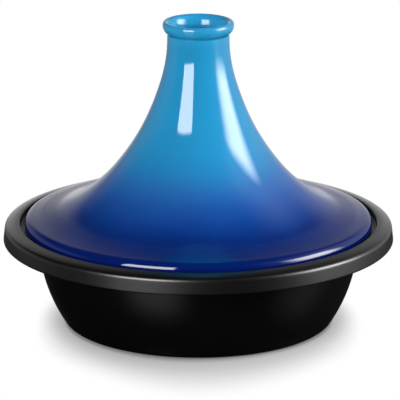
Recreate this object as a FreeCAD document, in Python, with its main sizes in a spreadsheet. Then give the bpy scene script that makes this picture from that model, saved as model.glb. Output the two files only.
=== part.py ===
"""Tagine pot: a round iron base and the tall stoneware lid that stands in it.

Both pieces are turned about Z. Millimetres, +Z up, with the origin at the centre of the base's
underside, on the table.
"""

import FreeCAD
import Part
import Sketcher

import math
import os
import re

from FreeCAD import Vector

# Driving dimensions, in millimetres.
SIZES = {
    # Base: the rim and the gallery, the sunken ledge inside the rim that the lid stands on
    "rim_radius": 135.0,  # at the rim's lower edge, where the pot is widest
    "rim_height": 70.8,  # top of the rim above the table
    "rim_width": 11.6,  # from the gallery's wall out to the widest edge
    "rim_flare": 1.2,  # how far the rim's outer face leans out on its way down
    "crown_drop": 2.2,  # fall of the rim's crown from the gallery to the outer face
    "rim_round": 3.2,  # round between the crown and the outer face
    "gallery_depth": 4.4,  # ledge below the top of the rim
    "flange_thickness": 5.2,  # ledge to the flange's underside
    "grip_lip_width": 6.4,  # turned-down lip under the rim, for the fingers
    "grip_lip_drop": 3.2,  # how far that lip hangs below the flange
    # Base: the dish
    "flange_overhang": 24.1,  # from the wall out to the widest edge
    "wall_curve": 107.0,  # radius of the wall's curve, seen from the side
    "flange_root": 3.0,  # round where the wall meets the flange
    "dish_wall": 4.2,
    "dish_floor": 4.5,
    "floor_round": 12.0,  # inside corner of the dish
    "foot_round": 6.0,  # outside corner of the foot
    "foot_ring": 14.0,  # ring that stands on the table, out to the foot's corner
    "underside_recess": 1.0,
    # Lid: heights are measured from its own foot or down from its top
    "lid_clearance": 3.3,  # gap all round between the lid's edge and the gallery's wall
    "lid_height": 145.6,
    "lid_wall": 6.4,
    "edge_height": 8.1,  # foot to the top of the edge, before it is rounded
    "edge_round": 5.2,
    "foot_width": 7.5,  # ring that stands on the ledge
    "foot_height": 2.6,  # how far that ring stands out below the skirt
    "foot_corner": 2.0,  # round inside the ring
    # Lid: points that pull its outline from the edge up to the throat
    "skirt_reach": 35.9,  # skirt's point, in from the edge
    "skirt_rise": 4.2,  # and up from the edge
    "slope_radius": 47.2,
    "slope_drop": 93.5,
    "waist_radius": 28.9,
    "waist_drop": 53.8,
    "neck_pull": 15.1,  # straight pull below the throat
    # Lid: the throat, the flared lip and the cup on top
    "throat_radius": 21.4,
    "throat_drop": 12.2,
    "lip_drop": 8.1,  # where the lip leaves the neck
    "lip_root": 1.8,  # round there
    "lip_crest_out": 1.4,  # top of the lip, out from the throat
    "lip_low_pull": 3.3,  # point that pulls the lip out from the neck
    "lip_low_rise": 1.1,  # and up
    "lip_high_pull": 2.8,  # point that pulls the lip in over its top
    "mouth_pull": 3.4,  # point that pulls the lip on into the cup
    "mouth_drop": 9.0,  # where the flare of the mouth ends
    "mouth_flare": 0.6,  # point that pulls the flare out from the cup's wall
    "mouth_rise": 5.0,  # and up
    "cup_wall": 4.0,  # between the throat and the top of the cup's wall
    "cup_depth": 29.4,
    "cup_round": 7.0,
    "cup_floor": 7.0,  # between the cup and the steam chamber
    "dome_inset": 4.4,  # steam chamber's top corner, in from the throat
    # Both pieces
    "soft_edge": 1.0,  # small round on cast and glazed edges
}

# Lengths worked out from the driving dimensions. Every outline below is written with these names.
DERIVED = {
    "gallery_radius": "rim_radius - rim_width",
    "ledge": "rim_height - gallery_depth",
    "flange_under": "rim_height - gallery_depth - flange_thickness",
    "rim_low": "flange_under - grip_lip_drop",
    "crown_edge": "rim_radius - rim_flare",
    "crown_run": "crown_edge - gallery_radius",
    "crown_curve": "(crown_run ^ 2 + crown_drop ^ 2) / (2 * crown_drop)",
    "grip_radius": "rim_radius - grip_lip_width",
    "wall_radius": "rim_radius - flange_overhang",
    "wall_centre": "wall_radius - wall_curve",
    "foot_radius": "wall_centre + sqrt(wall_curve ^ 2 - flange_under ^ 2)",
    "recess_radius": "foot_radius - foot_ring",
    "dish_bottom": "underside_recess + dish_floor",
    "dish_radius": "wall_radius - dish_wall",
    "dish_curve": "wall_curve - dish_wall",
    "floor_radius": "wall_centre + sqrt(dish_curve ^ 2 - (flange_under - dish_bottom) ^ 2)",
    "edge_radius": "gallery_radius - lid_clearance",
    "foot_inner": "edge_radius - foot_width",
    "skirt_radius": "edge_radius - skirt_reach",
    "skirt_height": "edge_height + skirt_rise",
    "slope_height": "lid_height - slope_drop",
    "waist_height": "lid_height - waist_drop",
    "throat_height": "lid_height - throat_drop",
    "neck_height": "throat_height - neck_pull",
    "lip_height": "lid_height - lip_drop",
    "crest_radius": "throat_radius + lip_crest_out",
    "mouth_height": "lid_height - mouth_drop",
    "cup_radius": "throat_radius - cup_wall",
    "cup_bottom": "lid_height - cup_depth",
    "cup_bottom_radius": "cup_radius - (cup_depth - mouth_drop) * mouth_flare / mouth_rise",
    "chamber_top": "cup_bottom - cup_floor",
    "dome_radius": "throat_radius - dome_inset",
}

SHEET = "Sizes"
NEAR = 1e-4  # how closely an edge has to match the place it is looked for at


def make_sheet(doc):
    """Writes the driving dimensions to the document's spreadsheet, one alias each."""
    sheet = doc.addObject("Spreadsheet::Sheet", SHEET)
    for row, (name, size) in enumerate(SIZES.items(), start=1):
        sheet.set(f"A{row}", name)
        sheet.set(f"B{row}", str(size))
        sheet.setAlias(f"B{row}", name)
    doc.recompute()
    return sheet


def expression(text):
    """Spells a length out in cells of the spreadsheet."""

    def spell(match):
        word = match.group()
        if word in DERIVED:
            return f"({expression(DERIVED[word])})"
        return f"{SHEET}.{word}" if word in SIZES else word

    return re.sub(r"[a-z][a-z_0-9]*", spell, text)


class Turned:
    """A piece turned about Z: one closed half section, then rounded edges.

    A point of the section is a pair of lengths, its radius and its height.
    """

    def __init__(self, doc, sheet, name):
        self.doc = doc
        self.sheet = sheet
        self.body = doc.addObject("PartDesign::Body", name)
        self.body.Label = name
        self.sketch = self.body.newObject("Sketcher::SketchObject", f"{name}_section")
        planes = self.body.Origin.OriginFeatures
        self.sketch.AttachmentSupport = [(next(p for p in planes if p.Role == "XZ_Plane"), "")]
        self.sketch.MapMode = "FlatFace"
        self.first = None  # start of the section, as a (geometry, end) pair
        self.last = None  # end of the section so far
        self.origin = None  # its first point
        self.here = None  # its last point

    def value(self, text):
        """Works a length out as a number."""
        return float(self.sheet.evalExpression(expression(text)))

    def vector(self, point):
        """Turns a point's two lengths into a place in the sketch."""
        return Vector(self.value(point[0]), self.value(point[1]), 0)

    def constrain(self, *parts):
        """Adds one constraint to the sketch."""
        return self.sketch.addConstraint(Sketcher.Constraint(*parts))

    def pin(self, geometry, end, point):
        """Holds one end of a piece of geometry at a point."""
        for kind, axis, text in (("DistanceX", -2, point[0]), ("DistanceY", -1, point[1])):
            if text == "0":
                self.constrain("PointOnObject", geometry, end, axis)
            else:
                number = self.constrain(kind, -1, 1, geometry, end, self.value(text))
                self.sketch.setExpression(f"Constraints[{number}]", expression(text))

    def join(self, geometry, start, end, point):
        """Hangs new geometry on the section's open end."""
        if self.last is None:
            self.first = (geometry, start)
            self.pin(geometry, start, self.origin)
        else:
            self.constrain("Coincident", *self.last, geometry, start)
        self.last = (geometry, end)
        self.here = point

    def begin(self, point):
        """Sets the section's first point."""
        self.origin = point
        self.here = point

    def line(self, *points):
        """Draws straight lines on through the points."""
        for point in points:
            segment = Part.LineSegment(self.vector(self.here), self.vector(point))
            geometry = self.sketch.addGeometry(segment)
            self.join(geometry, 1, 2, point)
            self.pin(geometry, 2, point)

    def arc(self, point, centre, radius):
        """Draws an arc of less than half a turn to the point, about a centre."""
        middle = self.vector(centre)
        start = self.vector(self.here) - middle
        finish = self.vector(point) - middle
        forward = start.cross(finish).z > 0
        low, high = (start, finish) if forward else (finish, start)
        from_angle = math.atan2(low.y, low.x)
        to_angle = from_angle + low.getAngle(high)
        circle = Part.Circle(middle, Vector(0, 0, 1), self.value(radius))
        geometry = self.sketch.addGeometry(Part.ArcOfCircle(circle, from_angle, to_angle))
        start_end, finish_end = (1, 2) if forward else (2, 1)
        self.join(geometry, start_end, finish_end, point)
        self.pin(geometry, finish_end, point)
        number = self.constrain("Radius", geometry, self.value(radius))
        self.sketch.setExpression(f"Constraints[{number}]", expression(radius))

    def spline(self, *points):
        """Draws a smooth cubic curve to the last point, pulled by the points before it."""
        poles = [self.here, *points]
        places = [self.vector(pole) for pole in poles]
        curve = Part.BSplineCurve(places, None, None, False, 3, None, False)
        geometry = self.sketch.addGeometry(curve)
        circles = []
        for number, place in enumerate(places):
            handle = self.sketch.addGeometry(Part.Circle(place, Vector(0, 0, 1), 1), True)
            kind = "InternalAlignment:Sketcher::BSplineControlPoint"
            self.constrain(kind, handle, 3, geometry, number)
            circles.append(handle)
        self.constrain("Weight", circles[0], 1.0)
        for handle in circles[1:]:
            self.constrain("Equal", circles[0], handle)
        if self.last is None:
            self.first = (geometry, 1)
            self.pin(circles[0], 3, poles[0])
        else:
            self.constrain("Coincident", *self.last, geometry, 1)
        for handle, pole in zip(circles[1:], poles[1:]):
            self.pin(handle, 3, pole)
        self.last = (geometry, 2)
        self.here = points[-1]

    def turn(self):
        """Closes the section along Z and turns it into a solid."""
        closing = Part.LineSegment(self.vector(self.here), self.vector(self.origin))
        geometry = self.sketch.addGeometry(closing)
        self.constrain("Coincident", *self.last, geometry, 1)
        self.constrain("Coincident", geometry, 2, *self.first)
        self.doc.recompute()
        feature = self.body.newObject("PartDesign::Revolution", f"{self.body.Name}_turned")
        feature.Profile = self.sketch
        feature.ReferenceAxis = (self.sketch, ["V_Axis"])
        feature.Angle = 360
        self.doc.recompute()

    def edge(self, point):
        """Finds the name of the circular edge that passes through a point."""
        place = self.vector(point)
        for number, edge in enumerate(self.body.Tip.Shape.Edges, start=1):
            if edge.Degenerated or not isinstance(edge.Curve, Part.Circle):
                continue
            off = abs(edge.Curve.Radius - place.x) + abs(edge.Curve.Center.z - place.y)
            if off < NEAR:
                return f"Edge{number}"
        raise ValueError(f"{self.body.Label} has no edge at {point}")

    def round(self, name, radius, *points):
        """Rounds the edges that pass through the points."""
        edges = [self.edge(point) for point in points]
        base = self.body.Tip
        feature = self.body.newObject("PartDesign::Fillet", f"{self.body.Name}_{name}")
        feature.Base = (base, edges)
        feature.setExpression("Radius", expression(radius))
        self.doc.recompute()


def inner(pole, before, after):
    """Moves a pole of the lid's outside inwards by the wall, square to its neighbours' line."""
    lean = f"atan2({after[0]} - {before[0]}; {before[1]} - {after[1]})"
    return f"{pole[0]} - lid_wall * cos({lean})", f"{pole[1]} - lid_wall * sin({lean})"


def make_base(doc, sheet):
    """Iron base: foot, curved wall, flange with a raised rim, gallery and dish."""
    base = Turned(doc, sheet, "base_dish")
    foot = ("foot_radius", "0")
    wall_top = ("wall_radius", "flange_under")
    grip_root = ("grip_radius", "flange_under")
    grip_edge = ("grip_radius", "rim_low")
    rim_edge = ("rim_radius", "rim_low")
    crown_edge = ("crown_edge", "rim_height - crown_drop")
    rim_top = ("gallery_radius", "rim_height")
    gallery_corner = ("gallery_radius", "ledge")
    dish_edge = ("dish_radius", "ledge")
    dish_corner = ("floor_radius", "dish_bottom")
    wall_middle = ("wall_centre", "flange_under")

    base.begin(("0", "underside_recess"))
    base.line(("recess_radius - underside_recess", "underside_recess"), ("recess_radius", "0"), foot)
    base.arc(wall_top, wall_middle, "wall_curve")
    base.line(grip_root, grip_edge, rim_edge, crown_edge)
    base.arc(rim_top, ("gallery_radius", "rim_height - crown_curve"), "crown_curve")
    base.line(gallery_corner, dish_edge, ("dish_radius", "flange_under"))
    base.arc(dish_corner, wall_middle, "dish_curve")
    base.line(("0", "dish_bottom"))
    base.turn()
    base.round("foot", "foot_round", foot)
    base.round("floor", "floor_round", dish_corner)
    base.round("flange_root", "flange_root", wall_top)
    base.round("rim", "rim_round", crown_edge)
    soft = (grip_root, grip_edge, rim_edge, rim_top, gallery_corner, dish_edge)
    base.round("soft_edges", "soft_edge", *soft)
    return base


def make_lid(doc, sheet):
    """Stoneware lid: foot ring, skirt, cone, neck, flared lip and cup, hollow up to the cup."""
    lid = Turned(doc, sheet, "conical_lid")
    edge = ("edge_radius", "edge_height")
    skirt = ("skirt_radius", "skirt_height")
    slope = ("slope_radius", "slope_height")
    waist = ("waist_radius", "waist_height")
    neck = ("throat_radius", "neck_height")
    throat = ("throat_radius", "throat_height")
    lip_root = ("throat_radius", "lip_height")
    crest = ("crest_radius", "lid_height")
    mouth = ("cup_radius", "mouth_height")
    cup_corner = ("cup_bottom_radius", "cup_bottom")
    foot_corner = ("foot_inner", "foot_height")
    foot_inside = ("foot_inner", "0")
    foot_outside = ("edge_radius", "0")

    lid.begin(("0", "chamber_top"))
    lid.spline(
        ("dome_radius", "chamber_top"),
        inner(waist, neck, slope),
        inner(slope, waist, skirt),
        inner(skirt, slope, edge),
        foot_corner,
    )
    lid.line(foot_inside, foot_outside, edge)
    lid.spline(skirt, slope, waist, neck, throat)
    lid.line(lip_root)
    lid.spline(
        ("throat_radius + lip_low_pull", "lip_height + lip_low_rise"),
        ("crest_radius + lip_high_pull", "lid_height"),
        crest,
    )
    lid.spline(
        ("crest_radius - mouth_pull", "lid_height"),
        ("cup_radius + mouth_flare", "mouth_height + mouth_rise"),
        mouth,
    )
    lid.line(cup_corner, ("0", "cup_bottom"))
    lid.turn()
    lid.round("edge", "edge_round", edge)
    lid.round("lip_root", "lip_root", lip_root)
    lid.round("cup", "cup_round", cup_corner)
    lid.round("foot_corner", "foot_corner", foot_corner)
    lid.round("soft_edges", "soft_edge", foot_inside, foot_outside)
    lid.body.setExpression("Placement.Base.z", expression("ledge"))
    doc.recompute()
    return lid


def check(doc, pieces):
    """Stops if any object failed or any piece isn't one valid solid."""
    for item in doc.Objects:
        if "Invalid" in item.State or "Error" in item.State:
            raise RuntimeError(f"{item.Name} failed: {item.State}")
    for piece in pieces:
        shape = piece.body.Shape
        if shape.isNull() or not shape.isValid() or len(shape.Solids) != 1:
            raise RuntimeError(f"{piece.body.Label} isn't one valid solid")


def main():
    doc = FreeCAD.newDocument("tagine_pot")
    sheet = make_sheet(doc)
    pieces = [make_base(doc, sheet), make_lid(doc, sheet)]
    check(doc, pieces)
    os.makedirs("parts", exist_ok=True)
    for piece in pieces:
        shape = piece.body.Shape
        shape.exportStep(f"parts/{piece.body.Label}.step")
        box = shape.BoundBox
        print(f"{piece.body.Label}: {shape.Volume / 1000:.1f} cm3, z {box.ZMin:.2f} to {box.ZMax:.2f}")


main()
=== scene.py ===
"""Looks of a tagine pot: a black enamelled iron base with a tall blue glazed stoneware lid.

Both pieces are turned about Z. Lengths are in metres, +Z is up, and the origin is the centre of the
base's underside.
"""

from __future__ import annotations

import logging
import math
from dataclasses import dataclass, field
from enum import Enum
from typing import Any, Iterable, Sequence, Union

import bmesh
import bpy
from mathutils import Euler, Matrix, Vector


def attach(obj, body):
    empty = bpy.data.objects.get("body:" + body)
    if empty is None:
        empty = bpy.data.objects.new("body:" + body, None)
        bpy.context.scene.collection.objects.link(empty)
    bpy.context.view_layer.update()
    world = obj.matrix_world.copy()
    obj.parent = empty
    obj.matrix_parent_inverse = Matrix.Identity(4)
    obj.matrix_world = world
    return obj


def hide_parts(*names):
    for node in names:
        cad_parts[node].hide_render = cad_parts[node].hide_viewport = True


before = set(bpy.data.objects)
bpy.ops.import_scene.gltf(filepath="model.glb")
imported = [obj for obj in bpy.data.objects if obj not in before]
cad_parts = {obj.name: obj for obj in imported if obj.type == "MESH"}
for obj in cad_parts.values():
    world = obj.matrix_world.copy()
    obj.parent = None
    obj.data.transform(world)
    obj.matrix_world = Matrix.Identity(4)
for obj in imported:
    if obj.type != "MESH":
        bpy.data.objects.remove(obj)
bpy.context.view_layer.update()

LOG = logging.getLogger("tagine_pot")
MM = 0.001
IMAGE_WIDTH = 400
TINY = 1e-6
CUBIC = 3

Point = tuple[float, float]
Colour = tuple[float, float, float]

WHITE: Colour = (1, 1, 1)
BLACK: Colour = (0, 0, 0)


class Region(Enum):
    """Parts of a turned piece's surface that may wear different finishes."""

    BODY = "body"
    LINER = "liner"
    FOOT = "foot"


class Value:
    """A single number that runs through a node tree, with Python's operators."""

    def __init__(self, graph: Graph, socket: bpy.types.NodeSocket) -> None:
        """Wraps one output socket of a graph."""
        self.graph = graph
        self.socket = socket

    def maths(self, operation: str, *others: Operand) -> Value:
        """Adds a Math node that starts with this value.

        Args:
            operation: Math node's operation.
            others: remaining operands.

        Returns:
            The node's result.
        """
        return self.graph.maths(operation, self, *others)

    def __add__(self, other: Operand) -> Value:
        """Adds."""
        return self.maths("ADD", other)

    def __radd__(self, other: Operand) -> Value:
        """Adds to a plain number."""
        return self.maths("ADD", other)

    def __sub__(self, other: Operand) -> Value:
        """Subtracts."""
        return self.maths("SUBTRACT", other)

    def __rsub__(self, other: Operand) -> Value:
        """Subtracts from a plain number."""
        return self.graph.maths("SUBTRACT", other, self)

    def __mul__(self, other: Operand) -> Value:
        """Multiplies."""
        return self.maths("MULTIPLY", other)

    def __rmul__(self, other: Operand) -> Value:
        """Multiplies a plain number."""
        return self.maths("MULTIPLY", other)

    def __truediv__(self, other: Operand) -> Value:
        """Divides."""
        return self.maths("DIVIDE", other)

    def __rtruediv__(self, other: Operand) -> Value:
        """Divides a plain number."""
        return self.graph.maths("DIVIDE", other, self)

    def __pow__(self, other: Operand) -> Value:
        """Raises to a power."""
        return self.maths("POWER", other)

    def step(self, low: float, high: float) -> Value:
        """Rises smoothly from 0 at low to 1 at high.

        Args:
            low: value where the rise starts.
            high: value where it ends.

        Returns:
            A value from 0 to 1.
        """
        settings = {"interpolation_type": "SMOOTHSTEP"}
        return self.graph.node("MapRange", settings, Value=self, From_Min=low, From_Max=high).value()

    def band(self, middle: float, half: float) -> Value:
        """Is 1 at the middle and falls smoothly to 0 at half a width to either side.

        Args:
            middle: value where the band is strongest.
            half: distance at which it has faded out.

        Returns:
            A value from 0 to 1.
        """
        return 1 - (self - middle).maths("ABSOLUTE").step(0, half)


Operand = Union[Value, float, int]


@dataclass(frozen=True)
class Clouds:
    """Cloudy noise: how many clouds lie in a metre, and how many octaves of finer ones they have."""

    scale: float
    octaves: float


@dataclass
class Shade:
    """A node with the sockets that it offers to later nodes."""

    graph: Graph
    node: bpy.types.Node

    def out(self, name: str) -> bpy.types.NodeSocket:
        """Gives the enabled output of that name."""
        return next(s for s in self.node.outputs if s.name == name and s.enabled)

    def value(self, name: str = "") -> Value:
        """Gives one output as a number.

        Args:
            name: the output's name, or nothing for the first that is enabled.

        Returns:
            The output, wrapped.
        """
        if name:
            return Value(self.graph, self.out(name))
        return Value(self.graph, next(s for s in self.node.outputs if s.enabled))


class Graph:
    """A material's or the world's node tree."""

    def __init__(self, tree: bpy.types.NodeTree) -> None:
        """Empties a tree and starts afresh."""
        self.tree = tree
        tree.nodes.clear()

    def node(self, kind: str, settings: dict[str, Any] | None = None, **sockets: Any) -> Shade:
        """Adds a node.

        Args:
            kind: node type without its ShaderNode prefix.
            settings: node properties, set before its sockets. "stops" gives a ramp's colours.
            sockets: values or links by socket name, with _ for a space. A name may end in a
                number, which then picks one of several sockets called alike.

        Returns:
            The node, wrapped.
        """
        node = self.tree.nodes.new("ShaderNode" + kind)
        for name, setting in (settings or {}).items():
            if name == "stops":
                self._stops(node.color_ramp, setting)
            else:
                setattr(node, name, setting)
        for name, given in sockets.items():
            self._feed(self._socket(node, name), given)
        return Shade(self, node)

    def maths(self, operation: str, *operands: Operand) -> Value:
        """Adds a Math node.

        Args:
            operation: Math node's operation.
            operands: numbers or values, in order.

        Returns:
            The node's result.
        """
        made = self.node("Math", {"operation": operation})
        for socket, given in zip(made.node.inputs, operands):
            self._feed(socket, given)
        return made.value()

    def mix(self, low: Any, high: Any, share: Any, blend: str = "MIX") -> bpy.types.NodeSocket:
        """Mixes two colours.

        Args:
            low: colour at share 0.
            high: colour at share 1.
            share: number or value from 0 to 1.
            blend: how the second is laid on the first.

        Returns:
            The mixed colour's socket.
        """
        settings = {"data_type": "RGBA", "blend_type": blend, "clamp_factor": True}
        return self.node("Mix", settings, Factor=share, A=low, B=high).out("Result")

    def blend(self, first: Any, second: Any, share: Value) -> bpy.types.NodeSocket:
        """Mixes two shaders."""
        return self.node("MixShader", None, Fac=share, Shader_1=first, Shader_2=second).out("Shader")

    def ramp(self, share: Value, *stops: tuple[float, Colour]) -> bpy.types.NodeSocket:
        """Turns a value into a colour.

        Args:
            share: value from 0 to 1.
            stops: places and colours of the ramp.

        Returns:
            The colour's socket.
        """
        return self.node("ValToRGB", {"stops": stops}, Fac=share).out("Color")

    def noise(self, clouds: Clouds) -> Value:
        """Adds cloudy noise, about 0.5, in the piece's own coordinates."""
        sockets = {"Vector": self.place(), "Scale": clouds.scale, "Detail": clouds.octaves}
        return self.node("TexNoise", None, **sockets).value("Fac")

    def bump(self, relief: Value, strength: float, depth: float) -> bpy.types.NodeSocket:
        """Turns a relief into a bumped normal.

        Args:
            relief: height of the surface, from 0 to 1.
            strength: how strongly it shows.
            depth: height of a full step.

        Returns:
            The normal's socket.
        """
        return self.node("Bump", None, Strength=strength, Distance=depth, Height=relief).out("Normal")

    def place(self) -> bpy.types.NodeSocket:
        """Gives the piece's own coordinates."""
        return self.node("TexCoord").out("Object")

    def axes(self, place: Any = None) -> tuple[Value, Value, Value]:
        """Splits a place, the piece's own coordinates if none is given, into X, Y and Z."""
        split = self.node("SeparateXYZ", None, Vector=place or self.place())
        return split.value("X"), split.value("Y"), split.value("Z")

    def finish(self, kind: str, surface: bpy.types.NodeSocket) -> None:
        """Links a shader to an output node of that kind."""
        self.node(kind, None, Surface=surface)

    def _socket(self, node: bpy.types.Node, name: str) -> bpy.types.NodeSocket:
        """Finds an enabled input.

        Args:
            node: node that has it.
            name: its name, with _ for a space, and a number if several are called alike.

        Returns:
            The input.
        """
        label, _, number = name.rpartition("_")
        if not number.isdigit():
            label, number = name, "1"
        found = [s for s in node.inputs if s.name == label.replace("_", " ") and s.enabled]
        return found[int(number) - 1]

    def _feed(self, socket: bpy.types.NodeSocket, given: Any) -> None:
        """Links a socket or sets its value.

        Args:
            socket: input to feed.
            given: value, socket, number or colour.
        """
        if isinstance(given, Value):
            given = given.socket
        if isinstance(given, bpy.types.NodeSocket):
            self.tree.links.new(given, socket)
        elif socket.type == "RGBA" and len(given) == 3:
            socket.default_value = (*given, 1)
        else:
            socket.default_value = given

    def _stops(self, ramp: bpy.types.ColorRamp, stops: Sequence[tuple[float, Colour]]) -> None:
        """Sets a ramp's stops.

        Args:
            ramp: the ramp.
            stops: its places and colours.
        """
        while len(ramp.elements) < len(stops):
            ramp.elements.new(1)
        for element, (place, colour) in zip(ramp.elements, stops):
            element.position = place
            element.color = (*colour, 1)


def srgb(red: float, green: float, blue: float) -> Colour:
    """Turns a colour as a screen shows it, from 0 to 255, into a linear one.

    Args:
        red: red level.
        green: green level.
        blue: blue level.

    Returns:
        The linear colour.
    """

    def linear(level: float) -> float:
        """Turns one level into a linear share."""
        share = level / 255
        return share / 12.92 if share <= 0.04045 else ((share + 0.055) / 1.055) ** 2.4

    return linear(red), linear(green), linear(blue)


class Finish:
    """A surface finish that knows how to make its material."""

    name: str = "finish"

    def material(self) -> bpy.types.Material:
        """Makes the material with its node tree.

        Returns:
            The material.
        """
        made = bpy.data.materials.new(self.name)
        made.use_nodes = True
        graph = Graph(made.node_tree)
        graph.finish("OutputMaterial", self.shader(graph))
        return made

    def shader(self, graph: Graph) -> bpy.types.NodeSocket:
        """Builds the shader.

        Args:
            graph: empty node tree.

        Returns:
            The shader's socket.
        """
        raise NotImplementedError


@dataclass(frozen=True)
class BlueGlaze(Finish):
    """Thick glossy glaze that runs from azure on the neck to deep navy on the skirt.

    It is duller in a band low on the skirt and on the lip, and has a thin band of painted shade under
    the lip. A pair holds the heights where such a change starts and ends.
    """

    name: str = "blue_glaze"
    bottom: float = 66.4 * MM
    top: float = 212.0 * MM
    stops: tuple[tuple[float, Colour], ...] = (
        (66 * MM, srgb(1, 19, 94)),
        (74 * MM, srgb(1, 30, 104)),
        (79 * MM, srgb(3, 40, 117)),
        (82 * MM, srgb(6, 46, 125)),
        (87 * MM, srgb(13, 62, 146)),
        (97.7 * MM, srgb(30, 87, 171)),
        (107.6 * MM, srgb(40, 113, 188)),
        (118 * MM, srgb(38, 138, 201)),
        (130 * MM, srgb(38, 151, 209)),
        (150 * MM, srgb(38, 157, 213)),
        (197 * MM, srgb(38, 157, 212)),
        # The lip's two stops are lighter than the neck: painted light on the lip's front, which faces
        # down and catches less of the lamps.
        (206 * MM, srgb(46, 172, 226)),
        (212 * MM, srgb(42, 162, 218)),
    )
    clouds: Clouds = Clouds(26, 3)
    cells: Clouds = Clouds(140, 2)
    smudges: Clouds = Clouds(55, 4)
    smudge_from: Point = (0.45, 0.75)
    tones: tuple[tuple[float, Colour], ...] = ((0.25, (0.95, 0.95, 0.96)), (0.75, WHITE))
    drift: float = 5 * MM
    # Painted shade: colour of a thin darker band in the crease under the lip.
    lip_shade_colour: Colour = srgb(8, 62, 130)
    lip_shade_line: float = 203.9 * MM
    lip_shade_half: float = 2.2 * MM
    lip_shade_share: float = 0.12
    skirt_start: Point = (74.5 * MM, 77 * MM)
    skirt_end: Point = (78.5 * MM, 83 * MM)
    lip_start: Point = (203 * MM, 206 * MM)
    gloss: float = 0.045
    smudge_rough: float = 0.03
    skirt_rough: float = 0.27
    lip_rough: float = 0.1
    ior: float = 1.65
    cloud_relief: float = 0.6
    cell_relief: float = 0.4
    relief_strength: float = 0.10
    relief_depth: float = 0.4 * MM

    def shader(self, graph: Graph) -> bpy.types.NodeSocket:
        """Builds the shader.

        Args:
            graph: empty node tree.

        Returns:
            The shader's socket.
        """
        height = graph.axes()[2]
        clouds = graph.noise(self.clouds)
        cells = graph.noise(self.cells)
        smudge = graph.noise(self.smudges).step(*self.smudge_from)
        span = self.top - self.bottom
        share = (height + (clouds - 0.5) * self.drift - self.bottom) / span
        colour = graph.ramp(share, *(((z - self.bottom) / span, c) for z, c in self.stops))
        colour = graph.mix(colour, graph.ramp(clouds, *self.tones), 1.0, "MULTIPLY")
        # Painted shade: a thin darker band in the crease under the lip.
        lip_shade = height.band(self.lip_shade_line, self.lip_shade_half) * self.lip_shade_share
        skirt = height.step(*self.skirt_start) * (1 - height.step(*self.skirt_end))
        lip = height.step(*self.lip_start)
        rough = self.gloss + smudge * self.smudge_rough
        rough = rough + skirt * self.skirt_rough + lip * self.lip_rough
        relief = clouds * self.cloud_relief + cells * self.cell_relief
        shader = graph.node(
            "BsdfPrincipled",
            None,
            Base_Color=graph.mix(colour, self.lip_shade_colour, lip_shade),
            Roughness=rough,
            IOR=self.ior,
            Normal=graph.bump(relief, self.relief_strength, self.relief_depth),
        )
        return shader.out("BSDF")


@dataclass(frozen=True)
class LinerGlaze(Finish):
    """Cream liner glaze on the inside of the lid, thinner in places and finely specked."""

    name: str = "cream_liner"
    cream: Colour = srgb(232, 224, 206)
    thin: Colour = srgb(214, 198, 170)
    speck: Colour = srgb(150, 120, 88)
    clouds: Clouds = Clouds(22, 4)
    specks: Clouds = Clouds(900, 1)
    dimples: Clouds = Clouds(160, 2)
    thin_from: Point = (0.4, 0.8)
    thin_share: float = 0.5
    speck_from: Point = (0.70, 0.78)
    speck_share: float = 0.5
    gloss: float = 0.10
    cloud_rough: float = 0.08
    ior: float = 1.55
    cloud_relief: float = 0.7
    dimple_relief: float = 0.3
    relief_strength: float = 0.12
    relief_depth: float = 0.4 * MM

    def shader(self, graph: Graph) -> bpy.types.NodeSocket:
        """Builds the shader.

        Args:
            graph: empty node tree.

        Returns:
            The shader's socket.
        """
        clouds = graph.noise(self.clouds)
        specks = graph.noise(self.specks).step(*self.speck_from)
        colour = graph.mix(self.cream, self.thin, clouds.step(*self.thin_from) * self.thin_share)
        relief = clouds * self.cloud_relief + graph.noise(self.dimples) * self.dimple_relief
        shader = graph.node(
            "BsdfPrincipled",
            None,
            Base_Color=graph.mix(colour, self.speck, specks * self.speck_share),
            Roughness=self.gloss + clouds * self.cloud_rough,
            IOR=self.ior,
            Normal=graph.bump(relief, self.relief_strength, self.relief_depth),
        )
        return shader.out("BSDF")


@dataclass(frozen=True)
class BareClay(Finish):
    """Unglazed stoneware on the ring that the lid stands on, with dark grit."""

    name: str = "bare_stoneware"
    clay: Colour = srgb(203, 182, 152)
    dark: Colour = srgb(168, 142, 110)
    grit: Colour = srgb(120, 92, 66)
    clouds: Clouds = Clouds(60, 4)
    grains: Clouds = Clouds(1500, 3)
    dark_from: Point = (0.35, 0.75)
    dark_share: float = 0.6
    grit_from: Point = (0.62, 0.72)
    grit_share: float = 0.5
    rough: float = 0.8
    cloud_rough: float = 0.15
    relief_strength: float = 0.4
    relief_depth: float = 0.15 * MM

    def shader(self, graph: Graph) -> bpy.types.NodeSocket:
        """Builds the shader.

        Args:
            graph: empty node tree.

        Returns:
            The shader's socket.
        """
        clouds = graph.noise(self.clouds)
        grains = graph.noise(self.grains)
        grit = grains.step(*self.grit_from) * self.grit_share
        colour = graph.mix(self.clay, self.dark, clouds.step(*self.dark_from) * self.dark_share)
        shader = graph.node(
            "BsdfPrincipled",
            None,
            Base_Color=graph.mix(colour, self.grit, grit),
            Roughness=self.rough + clouds * self.cloud_rough,
            Normal=graph.bump(grains, self.relief_strength, self.relief_depth),
        )
        return shader.out("BSDF")


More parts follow.
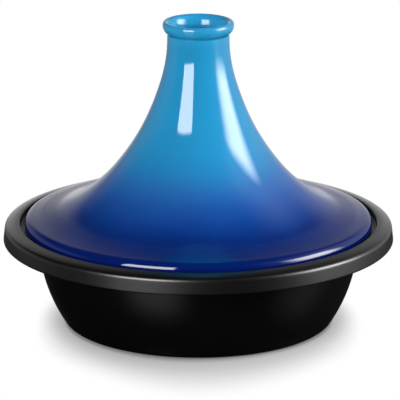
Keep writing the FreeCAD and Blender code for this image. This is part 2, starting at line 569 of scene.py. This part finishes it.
@dataclass(frozen=True)
class BlackEnamel(Finish):
    """Satin black enamel over cast iron, smoother on the rim than on the wall.

    Its foot is scuffed. The rim is what lies above rim_low, more and more from rim_inner to rim_outer.
    """

    name: str = "black_enamel"
    black: Colour = srgb(4, 4, 5)
    worn: Colour = srgb(34, 34, 36)
    rim_low: float = 57.0 * MM
    rim_rise: float = 2.0 * MM
    rim_inner: float = 121.0 * MM
    rim_outer: float = 131.0 * MM
    clouds: Clouds = Clouds(30, 4)
    grain: Clouds = Clouds(1100, 2)
    peel: Clouds = Clouds(260, 2)
    scuffs: Clouds = Clouds(420, 5)
    scuff_height: Point = (0.1 * MM, 0.9 * MM)
    scuff_from: Point = (0.45, 0.62)
    scuff_share: float = 0.8
    cloud_from: Point = (0.4, 0.9)
    cloud_share: float = 0.06
    rough: float = 0.36
    rim_smooth: float = 0.1
    cloud_rough: float = 0.06
    scuff_rough: float = 0.2
    ior: float = 1.2
    coat: float = 0.35
    rim_coat: float = 0.65
    coat_rough: float = 0.30
    coat_ior: float = 1.72
    grain_relief: float = 0.35
    peel_relief: float = 0.65
    relief_strength: float = 0.14
    relief_depth: float = 0.2 * MM

    def shader(self, graph: Graph) -> bpy.types.NodeSocket:
        """Builds the shader.

        Args:
            graph: empty node tree.

        Returns:
            The shader's socket.
        """
        x, y, height = graph.axes()
        radius = (x * x + y * y) ** 0.5
        rim = height.step(self.rim_low, self.rim_low + self.rim_rise)
        rim = rim * radius.step(self.rim_inner, self.rim_outer)
        clouds = graph.noise(self.clouds)
        scuffs = graph.noise(self.scuffs).step(*self.scuff_from)
        scuffs = (1 - height.step(*self.scuff_height)) * scuffs
        wear = scuffs * self.scuff_share + clouds.step(*self.cloud_from) * self.cloud_share
        rough = self.rough - rim * self.rim_smooth
        rough = rough + clouds * self.cloud_rough + scuffs * self.scuff_rough
        relief = graph.noise(self.grain) * self.grain_relief + graph.noise(self.peel) * self.peel_relief
        shader = graph.node(
            "BsdfPrincipled",
            None,
            Base_Color=graph.mix(self.black, self.worn, wear),
            Roughness=rough,
            IOR=self.ior,
            Coat_Weight=self.coat + rim * self.rim_coat,
            Coat_Roughness=self.coat_rough,
            Coat_IOR=self.coat_ior,
            Normal=graph.bump(relief, self.relief_strength, self.relief_depth),
        )
        return shader.out("BSDF")


@dataclass
class Stretch:
    """One smooth run of an outline, as close points, with the round at its far end."""

    points: list[Vector]
    corner: float
    region: Region


@dataclass
class Outline:
    """Half section of a turned piece, from the axis round to the axis again."""

    here: Vector
    spacing: float = 1.6 * MM
    line_steps: int = 3
    arc_steps: int = 10
    region: Region = Region.BODY
    stretches: list[Stretch] = field(default_factory=list)

    def line(self, radius: float, height: float, corner: float = 0.0) -> None:
        """Draws a straight line.

        Args:
            radius: distance of its end from the axis.
            height: height of its end.
            corner: round at its end.
        """
        end = Vector((radius, height))
        count = max(self.line_steps, math.ceil((end - self.here).length / self.spacing))
        start = self.here
        self._add([start.lerp(end, i / count) for i in range(count + 1)], corner)

    def arc(self, radius: float, height: float, centre: Point, corner: float = 0.0) -> None:
        """Draws an arc of less than half a turn.

        Args:
            radius: distance of its end from the axis.
            height: height of its end.
            centre: radius and height of its centre.
            corner: round at its end.
        """
        middle = Vector(centre)
        spoke = self.here - middle
        turn = -spoke.angle_signed(Vector((radius, height)) - middle)
        count = max(self.arc_steps, math.ceil(abs(turn) * spoke.length / self.spacing))
        points = []
        for i in range(count + 1):
            angle = turn * i / count
            cos, sin = math.cos(angle), math.sin(angle)
            turned = Vector((spoke.x * cos - spoke.y * sin, spoke.x * sin + spoke.y * cos))
            points.append(middle + turned)
        self._add(points, corner)

    def spline(self, poles: Sequence[Point], corner: float = 0.0, fewest: int = 4) -> None:
        """Draws a cubic curve pulled by poles, with clamped ends.

        Args:
            poles: points that pull it, the last of which is its end.
            corner: round at its end.
            fewest: fewest segments to draw it with.
        """
        pulls = [self.here, *(Vector(p) for p in poles)]
        length = sum((b - a).length for a, b in zip(pulls, pulls[1:]))
        count = max(fewest, math.ceil(length / self.spacing))
        self._add([clamped_cubic(pulls, i / count) for i in range(count + 1)], corner)

    def rounded(self) -> tuple[list[Vector], list[Region]]:
        """Rounds the corners and joins the runs.

        Returns:
            The outline's points, and the region of the band that follows each of them.
        """
        points: list[Vector] = []
        regions: list[Region] = []
        runs = [list(s.points) for s in self.stretches]
        for number, stretch in enumerate(self.stretches):
            bend: list[Vector] = []
            if stretch.corner and number + 1 < len(runs):
                before, bend, after = soften(runs[number], runs[number + 1], stretch.corner)
                runs[number], runs[number + 1] = before, after
            for point in runs[number][:-1] + (bend[:-1] if bend else []):
                points.append(point)
                regions.append(stretch.region)
        points.append(runs[-1][-1])
        return points, regions

    def _add(self, points: list[Vector], corner: float) -> None:
        """Hangs a run on the outline's open end."""
        self.stretches.append(Stretch(points, corner, self.region))
        self.here = points[-1]


def clamped_cubic(poles: Sequence[Vector], share: float) -> Vector:
    """Reads a clamped, evenly knotted cubic B-spline.

    Args:
        poles: its control points.
        share: place along it, from 0 to 1.

    Returns:
        The point there.
    """
    spans = len(poles) - CUBIC
    order = CUBIC + 1
    knots = [0.0] * order + [i / spans for i in range(1, spans)] + [1.0] * order
    span = min(CUBIC + int(share * spans), len(poles) - 1)
    work = [poles[span - CUBIC + i].copy() for i in range(order)]
    for level in range(1, order):
        for i in range(CUBIC, level - 1, -1):
            low, high = knots[span - CUBIC + i], knots[span + 1 + i - level]
            work[i] = work[i - 1].lerp(work[i], (share - low) / (high - low))
    return work[CUBIC]


def cut_back(points: list[Vector], setback: float) -> tuple[list[Vector], Vector]:
    """Shortens a run at its far end.

    Args:
        points: the run.
        setback: length to take off.

    Returns:
        The shorter run, and its direction where it now ends.
    """
    kept = list(points)
    left = setback
    while len(kept) > 2 and (kept[-1] - kept[-2]).length <= left:
        left -= (kept[-1] - kept[-2]).length
        kept.pop()
    way = (kept[-1] - kept[-2]).normalized()
    kept[-1] = kept[-1] - way * left
    return kept, way


def soften(
    before: list[Vector], after: list[Vector], radius: float, steps: int = 9
) -> tuple[list[Vector], list[Vector], list[Vector]]:
    """Rounds the corner between two runs.

    Args:
        before: run that ends at the corner.
        after: run that starts there.
        radius: radius of the round.
        steps: segments in the round.

    Returns:
        The first run cut back, the round, and the second run cut back.
    """
    turn = (before[-1] - before[-2]).angle(after[1] - after[0])
    setback = radius * math.tan(turn / 2)
    first, way_in = cut_back(before, setback)
    second, way_out = cut_back(after[::-1], setback)
    handle = radius * math.tan(turn / 4) * 4 / 3
    start, end = first[-1], second[-1]
    pull_in, pull_out = start + way_in * handle, end + way_out * handle
    bend = []
    for i in range(steps + 1):
        t = i / steps
        low, high = start.lerp(pull_in, t), pull_out.lerp(end, t)
        middle = pull_in.lerp(pull_out, t)
        bend.append(low.lerp(middle, t).lerp(middle.lerp(high, t), t))
    return first, bend, second[::-1]


class Turned:
    """A piece that is turned about Z from an outline, whose height 0 stands at its seat."""

    name: str
    node: str
    body: str
    slot: str
    seat: float
    segments: int = 256
    finishes: dict[Region, Finish]

    def outline(self) -> Outline:
        """Draws the half section."""
        raise NotImplementedError

    def build(self) -> bpy.types.Object:
        """Turns the outline into a closed mesh, dresses it and hangs it on its body.

        Returns:
            The new piece.
        """
        points, regions = self.outline().rounded()
        order = list(self.finishes)
        mesh = bpy.data.meshes.new(self.name)
        work = bmesh.new()
        layer = work.loops.layers.uv.new("OFBake")
        rings = [self._ring(work, point) for point in points]
        reach = [0.0]
        for a, b in zip(points, points[1:]):
            reach.append(reach[-1] + (b - a).length)
        for number, region in enumerate(regions):
            span = (reach[number] / reach[-1], reach[number + 1] / reach[-1])
            slot = order.index(region)
            for i in range(self.segments):
                face = self._face(work, layer, rings[number : number + 2], i, span)
                face.material_index = slot
        work.normal_update()
        work.to_mesh(mesh)
        work.free()
        for finish in self.finishes.values():
            mesh.materials.append(finish.material())
        made = bpy.data.objects.new(self.name, mesh)
        bpy.context.scene.collection.objects.link(made)
        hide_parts(self.node)
        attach(made, self.body)
        return made

    def _ring(self, work: bmesh.types.BMesh, point: Vector) -> list[bmesh.types.BMVert]:
        """Turns one point of the outline about Z.

        Args:
            work: mesh to add to.
            point: radius and height of the point.

        Returns:
            Its ring of corners, which are one and the same for a point on the axis.
        """
        radius, height = point.x, self.seat + point.y
        if radius < TINY:
            return [work.verts.new((0, 0, height))] * self.segments
        ring = []
        for i in range(self.segments):
            angle = 2 * math.pi * i / self.segments
            ring.append(work.verts.new((radius * math.sin(angle), radius * math.cos(angle), height)))
        return ring

    def _face(
        self,
        work: bmesh.types.BMesh,
        layer: Any,
        rings: list[list[bmesh.types.BMVert]],
        number: int,
        span: Point,
    ) -> bmesh.types.BMFace:
        """Adds one face between two rings.

        Args:
            work: mesh to add to.
            layer: its bake map.
            rings: the two rings.
            number: place of the face along them.
            span: how far along the outline each ring lies, from 0 to 1.

        Returns:
            The face, with its place on the bake map.
        """
        inner, outer = rings
        low, high = span
        after = (number + 1) % self.segments
        left, right = number / self.segments, (number + 1) / self.segments
        corners = [
            (inner[number], (left, low)),
            (inner[after], (right, low)),
            (outer[after], (right, high)),
            (outer[number], (left, high)),
        ]
        if inner[number] is inner[after]:
            corners[0:2] = [(inner[number], ((left + right) / 2, low))]
        elif outer[number] is outer[after]:
            corners[2:4] = [(outer[number], ((left + right) / 2, high))]
        face = work.faces.new([vert for vert, _ in corners])
        face.smooth = True
        for loop, (_, place) in zip(face.loops, corners):
            loop[layer].uv = place
        return face


@dataclass
class BaseDish(Turned):
    """Iron base: foot, curved wall, wide flange with a raised rim, gallery and dish."""

    name: str = "base_dish_enamel"
    node: str = "base_dish"
    body: str = "base"
    slot: str = "black_enamel"
    seat: float = 0.0
    rim_radius: float = 135.0 * MM
    rim_height: float = 70.8 * MM
    rim_width: float = 11.6 * MM
    rim_flare: float = 1.2 * MM
    crown_drop: float = 2.2 * MM
    rim_round: float = 3.2 * MM
    gallery_depth: float = 4.4 * MM
    flange_thickness: float = 5.2 * MM
    grip_lip_width: float = 6.4 * MM
    grip_lip_drop: float = 3.2 * MM
    flange_overhang: float = 24.1 * MM
    wall_curve: float = 107.0 * MM
    flange_root: float = 3.0 * MM
    dish_wall: float = 4.2 * MM
    dish_floor: float = 4.5 * MM
    floor_round: float = 12.0 * MM
    foot_round: float = 6.0 * MM
    foot_ring: float = 14.0 * MM
    underside_recess: float = 1.0 * MM
    soft_edge: float = 1.0 * MM
    finishes: dict[Region, Finish] = field(default_factory=lambda: {Region.BODY: BlackEnamel()})

    @property
    def ledge(self) -> float:
        """Height of the gallery's ledge, which the lid stands on."""
        return self.rim_height - self.gallery_depth

    @property
    def gallery_radius(self) -> float:
        """Radius of the gallery's wall."""
        return self.rim_radius - self.rim_width

    def outline(self) -> Outline:
        """Draws the half section, from the underside out and over the rim into the dish.

        Returns:
            The outline.
        """
        under = self.ledge - self.flange_thickness
        low = under - self.grip_lip_drop
        wall = self.rim_radius - self.flange_overhang
        middle = (wall - self.wall_curve, under)
        foot = middle[0] + math.sqrt(self.wall_curve**2 - under**2)
        recess = foot - self.foot_ring
        grip = self.rim_radius - self.grip_lip_width
        face = self.rim_radius - self.rim_flare
        run = face - self.gallery_radius
        crown = (run**2 + self.crown_drop**2) / (2 * self.crown_drop)
        bottom = self.underside_recess + self.dish_floor
        dish = wall - self.dish_wall
        dish_curve = self.wall_curve - self.dish_wall
        floor = middle[0] + math.sqrt(dish_curve**2 - (under - bottom) ** 2)
        soft = self.soft_edge

        draw = Outline(Vector((0, self.underside_recess)))
        draw.line(recess - self.underside_recess, self.underside_recess, soft / 2)
        draw.line(recess, 0, soft / 2)
        draw.line(foot, 0, self.foot_round)
        draw.arc(wall, under, middle, self.flange_root)
        draw.line(grip, under, soft)
        draw.line(grip, low, soft)
        draw.line(self.rim_radius, low, soft)
        draw.line(face, self.rim_height - self.crown_drop, self.rim_round)
        crown_middle = (self.gallery_radius, self.rim_height - crown)
        draw.arc(self.gallery_radius, self.rim_height, crown_middle, soft)
        draw.line(self.gallery_radius, self.ledge, soft)
        draw.line(dish, self.ledge, soft)
        draw.line(dish, under)
        draw.arc(floor, bottom, middle, self.floor_round)
        draw.line(0, bottom)
        return draw


@dataclass
class ConicalLid(Turned):
    """Stoneware lid: foot ring, skirt, cone, neck, flared lip and cup, hollow up to the cup."""

    seat: float
    gallery_radius: float
    name: str = "conical_lid_glaze"
    node: str = "conical_lid"
    body: str = "lid"
    slot: str = "blue_glaze"
    lid_clearance: float = 3.3 * MM
    lid_height: float = 145.6 * MM
    lid_wall: float = 6.4 * MM
    edge_height: float = 8.1 * MM
    edge_round: float = 5.2 * MM
    foot_width: float = 7.5 * MM
    foot_height: float = 2.6 * MM
    foot_corner: float = 2.0 * MM
    skirt_reach: float = 35.9 * MM
    skirt_rise: float = 4.2 * MM
    slope_radius: float = 47.2 * MM
    slope_drop: float = 93.5 * MM
    waist_radius: float = 28.9 * MM
    waist_drop: float = 53.8 * MM
    neck_pull: float = 15.1 * MM
    throat_radius: float = 21.4 * MM
    throat_drop: float = 12.2 * MM
    lip_drop: float = 8.1 * MM
    lip_root: float = 1.8 * MM
    lip_crest_out: float = 1.4 * MM
    lip_low_pull: float = 3.3 * MM
    lip_low_rise: float = 1.1 * MM
    lip_high_pull: float = 2.8 * MM
    mouth_pull: float = 3.4 * MM
    mouth_drop: float = 9.0 * MM
    mouth_flare: float = 0.6 * MM
    mouth_rise: float = 5.0 * MM
    cup_wall: float = 4.0 * MM
    cup_depth: float = 29.4 * MM
    cup_round: float = 7.0 * MM
    cup_floor: float = 7.0 * MM
    dome_inset: float = 4.4 * MM
    lip_steps: int = 18
    soft_edge: float = 1.0 * MM
    finishes: dict[Region, Finish] = field(
        default_factory=lambda: {
            Region.BODY: BlueGlaze(),
            Region.LINER: LinerGlaze(),
            Region.FOOT: BareClay(),
        }
    )

    def inner(self, pole: Point, before: Point, after: Point) -> Point:
        """Moves a pole of the outside inwards by the wall, square to its neighbours' line.

        Args:
            pole: the pole.
            before: pole above it.
            after: pole below it.

        Returns:
            The moved pole.
        """
        lean = math.atan2(after[0] - before[0], before[1] - after[1])
        return pole[0] - self.lid_wall * math.cos(lean), pole[1] - self.lid_wall * math.sin(lean)

    def outline(self) -> Outline:
        """Draws the half section, from the steam chamber down, round the foot and up to the cup.

        Returns:
            The outline.
        """
        top = self.lid_height
        edge = (self.gallery_radius - self.lid_clearance, self.edge_height)
        skirt = (edge[0] - self.skirt_reach, self.edge_height + self.skirt_rise)
        slope = (self.slope_radius, top - self.slope_drop)
        waist = (self.waist_radius, top - self.waist_drop)
        throat = (self.throat_radius, top - self.throat_drop)
        neck = (self.throat_radius, throat[1] - self.neck_pull)
        lip = top - self.lip_drop
        crest = self.throat_radius + self.lip_crest_out
        mouth = (self.throat_radius - self.cup_wall, top - self.mouth_drop)
        taper = (self.cup_depth - self.mouth_drop) * self.mouth_flare / self.mouth_rise
        cup_bottom = top - self.cup_depth
        chamber = cup_bottom - self.cup_floor
        foot = edge[0] - self.foot_width
        dome = self.throat_radius - self.dome_inset
        poles = [
            (dome, chamber),
            self.inner(waist, neck, slope),
            self.inner(slope, waist, skirt),
            self.inner(skirt, slope, edge),
            (foot, self.foot_height),
        ]

        draw = Outline(Vector((0, chamber)), region=Region.LINER)
        draw.spline(poles, self.foot_corner)
        draw.line(foot, 0, self.soft_edge)
        draw.region = Region.FOOT
        draw.line(edge[0], 0, self.soft_edge)
        draw.region = Region.BODY
        draw.line(*edge, self.edge_round)
        draw.spline([skirt, slope, waist, neck, throat])
        draw.line(self.throat_radius, lip, self.lip_root)
        low_pull = (self.throat_radius + self.lip_low_pull, lip + self.lip_low_rise)
        draw.spline([low_pull, (crest + self.lip_high_pull, top), (crest, top)], fewest=self.lip_steps)
        flare = (mouth[0] + self.mouth_flare, mouth[1] + self.mouth_rise)
        draw.spline([(crest - self.mouth_pull, top), flare, mouth], fewest=self.lip_steps)
        draw.line(mouth[0] - taper, cup_bottom, self.cup_round)
        draw.line(0, cup_bottom)
        return draw


@dataclass(frozen=True)
class Softbox:
    """A lit rectangular panel that stands upright and faces the pot.

    Each end is a bearing, in degrees from +Y towards +X, and a distance from the axis. Its foot is at
    the height low and its top at high. The four shares in soft tell how far in it fades from its
    start, its end, its foot and its top.
    """

    name: str
    start: Point
    end: Point
    low: float
    high: float
    radiance: float
    soft: tuple[float, float, float, float]
    tint: Colour = (1.025, 0.995, 0.98)

    def build(self) -> bpy.types.Object:
        """Sets the panel up as an area lamp.

        Returns:
            The lamp.
        """
        start, end = self._corner(*self.start), self._corner(*self.end)
        along = end - start
        height = self.high - self.low
        lamp = bpy.data.lights.new(self.name, "AREA")
        lamp.shape = "RECTANGLE"
        lamp.size, lamp.size_y = along.length, height
        lamp.energy = self.radiance * math.pi * along.length * height
        lamp.color = self.tint
        self._feather(lamp)
        made = bpy.data.objects.new(self.name, lamp)
        made.location = (start + end) / 2 + Vector((0, 0, (self.low + self.high) / 2))
        made.rotation_euler = Euler((math.pi / 2, 0, math.atan2(along.y, along.x)))
        made.visible_camera = False
        bpy.context.scene.collection.objects.link(made)
        return made

    def _corner(self, bearing: float, distance: float) -> Vector:
        """Gives the point on the floor at a bearing and a distance."""
        angle = math.radians(bearing)
        return Vector((distance * math.sin(angle), distance * math.cos(angle), 0))

    def _feather(self, lamp: bpy.types.Light) -> None:
        """Fades the panel towards its edges.

        Args:
            lamp: the panel's lamp.
        """
        lamp.use_nodes = True
        graph = Graph(lamp.node_tree)
        x, y, _ = graph.axes(graph.node("NewGeometry").out("Parametric"))
        start, end, foot, top = self.soft
        fade = x.step(0, start) * (1 - x).step(0, end) * y.step(0, foot) * (1 - y).step(0, top)
        colour = graph.ramp(fade, (0, BLACK), (1, WHITE))
        light = graph.node("Emission", None, Color=colour, Strength=1.0)
        graph.finish("OutputLight", light.out("Emission"))


@dataclass(frozen=True)
class Backdrop:
    """How bright the studio is round the pot, lamps apart.

    Behind the pot hangs a white sheet, brightest in the middle, to its right stands a paler wall, and
    the rest is dim. A pair holds where a smooth change starts and ends, by how far a direction's
    bearing points to +X (side) or to +Y (depth), or by how far the direction points up (top, rise).
    """

    rest_level: float = 0.02
    sheet_side: Point = (-0.46, -0.28)
    sheet_depth: Point = (0, 0.3)
    sheet_top: Point = (0.12, 0.78)
    sheet_level: float = 0.5
    middle_side: float = -0.02
    middle_width: Point = (0.12, 0.30)
    middle_top: Point = (0, 0.32)
    middle_level: float = 0.5
    wall_side: Point = (0.22, 0.5)
    wall_depth: Point = (-0.9, -0.2)
    wall_top: Point = (0.68, 0.93)
    wall_level: float = 0.36
    wall_far_side: Point = (0.5, 1.0)
    wall_far_gain: float = 0.16
    wall_near_side: Point = (0.3, 0.95)
    wall_near_rise: Point = (0.3, 0.6)
    dim_depth: Point = (-0.5, 0.2)
    dim_top: Point = (0.15, 0.55)
    dim_level: float = 0.22

    def level(self, side: Value, depth: Value, rise: Value) -> Value:
        """Tells how bright one direction is.

        Args:
            side: how far the direction's bearing points to +X.
            depth: how far it points to +Y.
            rise: how far the direction points up.

        Returns:
            A level from 0 to 1.
        """
        sheet = side.step(*self.sheet_side) * depth.step(*self.sheet_depth)
        middle = 1 - (side - self.middle_side).maths("ABSOLUTE").step(*self.middle_width)
        back = self.sheet_level * (1 - rise.step(*self.sheet_top))
        back = back + self.middle_level * middle * (1 - rise.step(*self.middle_top))
        wall = self.wall_level + self.wall_far_gain * side.step(*self.wall_far_side)
        wall = wall * (1 - rise.step(*self.wall_top)) * depth.step(*self.wall_depth)
        wall = wall * (1 - (1 - side.step(*self.wall_near_side)) * rise.step(*self.wall_near_rise))
        turn = side.step(*self.wall_side)
        dim = self.dim_level * (1 - rise.step(*self.dim_top)) * (1 - turn) * depth.step(*self.dim_depth)
        return self.rest_level + sheet * (1 - turn) * back + turn * wall + (1 - sheet) * dim


@dataclass(frozen=True)
class WhiteFloor(Finish):
    """Floor that the camera sees white, with the pot's shadow round its foot, partly real and partly
    painted.

    The shadow is narrower towards the back and darkest where the foot touches the floor. Mirror images
    of the floor show the backdrop from far out, a painted glow on the floor towards the right softbox,
    and a weak polish that is duller on the right. A pair holds where such a change starts and ends.
    """

    name: str = "white_floor"
    backdrop: Backdrop = Backdrop()
    white: Colour = (0.3, 0.3, 0.3)
    dark: Colour = (0.02, 0.02, 0.02)
    foot_radius: float = 92 * MM
    # Sizes of the painted part of the shadow round the foot.
    shadow_reach: float = 36 * MM
    shadow_depth: float = 0.165
    shadow_level: float = 0.36
    shadow_back: Point = (-90 * MM, 10 * MM)
    shadow_back_gain: float = 0.6
    contact_shadow_span: Point = (-1.2 * MM, 4.5 * MM)
    contact_shadow_level: float = 0.25
    seen_from: Point = (0.35, 0.6)
    # Painted glow: where the bright patch towards the right softbox lies.
    glow_depth: float = -0.31
    glow_half: float = 0.25
    glow_side: Point = (0.4, 0.7)
    glow_from: Point = (0.65, 1.1)
    polish: float = 0.1
    polish_rough: float = 0.12
    dull_side: Point = (0.1, 0.6)
    dull_share: float = 0.75

    def shader(self, graph: Graph) -> bpy.types.NodeSocket:
        """Builds the shader.

        Args:
            graph: empty node tree.

        Returns:
            The shader's socket.
        """
        x, y, _ = graph.axes()
        radius = (x * x + y * y) ** 0.5
        side, depth = x / radius, y / radius
        # Painted shadow: the white glow thins towards the foot, more at the front and most where the
        # foot touches, so the matte floor's real lamp shadow shows through in this painted shape.
        beside = (1 - self.foot_radius / radius) * (x * x + y * y * self.shadow_depth) ** 0.5
        beside = beside * (1 + self.shadow_back_gain * y.step(*self.shadow_back))
        lift = self.shadow_level + (1 - self.shadow_level) * beside.step(0, self.shadow_reach)
        lift = lift * (self.contact_shadow_level + (1 - self.contact_shadow_level) * beside.step(*self.contact_shadow_span))
        horizon = radius * 0
        seen = self.backdrop.level(side, depth, horizon) * radius.step(*self.seen_from)
        # Painted glow: a bright patch on the floor towards the right softbox, seen only in mirror
        # images.
        glow = depth.band(self.glow_depth, self.glow_half) * side.step(*self.glow_side)
        seen = seen + glow * radius.step(*self.glow_from) * (1 - seen)
        rays = graph.node("LightPath")
        camera = rays.value("Is Camera Ray")
        mirrored = rays.value("Is Glossy Ray") + rays.value("Is Transmission Ray")
        tone = graph.mix(self.dark, self.white, camera)
        matte = graph.node("BsdfDiffuse", None, Color=tone).out("BSDF")
        gloss = graph.node("BsdfGlossy", None, Color=WHITE, Roughness=self.polish_rough).out("BSDF")
        white = graph.node("Emission", None, Color=WHITE, Strength=1.0).out("Emission")
        polish = mirrored * self.polish * (1 - self.dull_share * side.step(*self.dull_side))
        top = graph.blend(matte, gloss, polish)
        return graph.blend(top, white, camera * lift + mirrored * seen)


@dataclass
class Studio:
    """White floor, two softboxes, a dim room and the camera."""

    elevation: float = math.radians(15.96)
    distance: float = 2.6
    aim: Vector = field(default_factory=lambda: Vector((1.14 * MM, 0, 85.1 * MM)))
    focal_pixels: float = 3761.5
    sensor: float = 36.0
    clip_end: float = 100.0
    floor_size: float = 40.0
    floor_drop: float = 0.1 * MM
    backdrop: Backdrop = Backdrop()
    softboxes: tuple[Softbox, ...] = (
        Softbox(
            "softbox_left",
            start=(-130.5, 1.59),
            end=(-166.0, 1.39),
            low=0.19,
            high=1.15,
            radiance=8.6,
            soft=(0.03, 0.06, 0.05, 0.08),
        ),
        Softbox(
            "softbox_right",
            start=(125.0, 1.6),
            end=(71.0, 1.6),
            low=0.0,
            high=1.36,
            radiance=9.2,
            soft=(0.40, 0.36, 0.3, 0.24),
        ),
    )

    def camera(self) -> bpy.types.Object:
        """Sets the camera up at the photograph's angle.

        Returns:
            The camera.
        """
        lens = bpy.data.cameras.new("camera")
        lens.sensor_width = self.sensor
        lens.lens = self.focal_pixels * self.sensor / IMAGE_WIDTH
        lens.clip_end = self.clip_end
        made = bpy.data.objects.new("camera", lens)
        back = Vector((0, -math.cos(self.elevation), math.sin(self.elevation)))
        made.location = self.aim + back * self.distance
        made.rotation_euler = Euler((math.pi / 2 - self.elevation, 0, 0))
        bpy.context.scene.collection.objects.link(made)
        bpy.context.scene.camera = made
        return made

    def floor(self) -> bpy.types.Object:
        """Lays the floor.

        Returns:
            The floor.
        """
        mesh = bpy.data.meshes.new("floor")
        work = bmesh.new()
        bmesh.ops.create_grid(work, x_segments=1, y_segments=1, size=self.floor_size / 2)
        work.to_mesh(mesh)
        work.free()
        made = bpy.data.objects.new("floor", mesh)
        made.location.z = -self.floor_drop
        bpy.context.scene.collection.objects.link(made)
        mesh.materials.append(WhiteFloor(backdrop=self.backdrop).material())
        return made

    def room(self) -> None:
        """Lights the room as bright as the backdrop is in each direction."""
        world = bpy.data.worlds.new("studio")
        bpy.context.scene.world = world
        world.use_nodes = True
        graph = Graph(world.node_tree)
        x, y, z = graph.axes(graph.node("TexCoord").out("Generated"))
        level = (x * x + y * y + TINY) ** 0.5
        colour = graph.mix(BLACK, WHITE, self.backdrop.level(x / level, y / level, z))
        light = graph.node("Background", None, Color=colour, Strength=1.0)
        graph.finish("OutputWorld", light.out("Background"))

    def build(self) -> None:
        """Sets up the whole studio."""
        self.camera()
        self.floor()
        self.room()
        for softbox in self.softboxes:
            softbox.build()


def corners(box: Iterable[Vector]) -> list[list[float]]:
    """Gives a box's two corners as plain numbers."""
    return [[round(length, 6) for length in corner] for corner in box]


def main() -> None:
    """Builds the pot and the studio."""
    logging.basicConfig(level=logging.INFO, format="%(message)s")
    bpy.context.scene.view_settings.view_transform = "Standard"
    base = BaseDish()
    lid = ConicalLid(seat=base.ledge, gallery_radius=base.gallery_radius)
    for piece in (base, lid):
        made = piece.build()
        LOG.info("%s: %d faces, rides on %s", made.name, len(made.data.polygons), piece.body)
    Studio().build()


if __name__ == "__main__":
    main()
